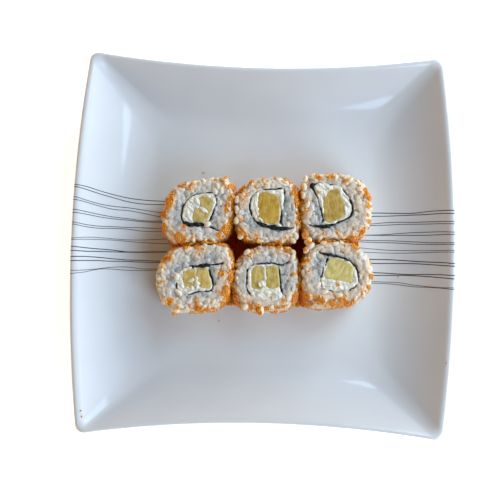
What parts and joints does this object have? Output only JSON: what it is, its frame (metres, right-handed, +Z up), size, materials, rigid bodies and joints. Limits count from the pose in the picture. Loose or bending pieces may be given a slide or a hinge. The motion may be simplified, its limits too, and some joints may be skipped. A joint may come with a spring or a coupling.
{
  "type": "uramaki rolls on a square plate",
  "caption": "Cut uramaki with rice and roe outside, nori, cream cheese and yellow fruit inside, standing on a white square porcelain plate with bowed sides.",
  "frame": {"origin": "on the table under the middle of the plate, at the height of its foot", "axes": "+Z up, +X along the rows of rolls between the bowed-out sides, +Y towards the back row of rolls"},
  "size_m": [0.24, 0.2384, 0.0361],
  "materials": {
    "porcelain": "glossy white glaze with thin grey line pairs",
    "rice": "moist cooked rice with orange roe",
    "nori": "dark moist seaweed",
    "cheese": "smooth moist cream cheese",
    "fruit": "wet fibrous yellow flesh"
  },
  "bodies": {
    "root": {"plate": "porcelain", "roll_back_left_rice": "rice", "roll_back_left_nori": "nori", "roll_back_left_cheese": "cheese", "roll_back_left_fruit": "fruit", "roll_back_middle_rice": "rice", "roll_back_middle_nori": "nori", "roll_back_middle_cheese": "cheese", "roll_back_middle_fruit": "fruit", "roll_back_right_rice": "rice", "roll_back_right_nori": "nori", "roll_back_right_cheese": "cheese", "roll_back_right_fruit": "fruit", "roll_front_left_rice": "rice", "roll_front_left_nori": "nori", "roll_front_left_cheese": "cheese", "roll_front_left_fruit": "fruit", "roll_front_left_fruit_second": "fruit", "roll_front_middle_rice": "rice", "roll_front_middle_nori": "nori", "roll_front_middle_cheese": "cheese", "roll_front_middle_fruit": "fruit", "roll_front_middle_fruit_second": "fruit", "roll_front_right_rice": "rice", "roll_front_right_nori": "nori", "roll_front_right_cheese": "cheese", "roll_front_right_fruit": "fruit"}
  },
  "joints": []
}
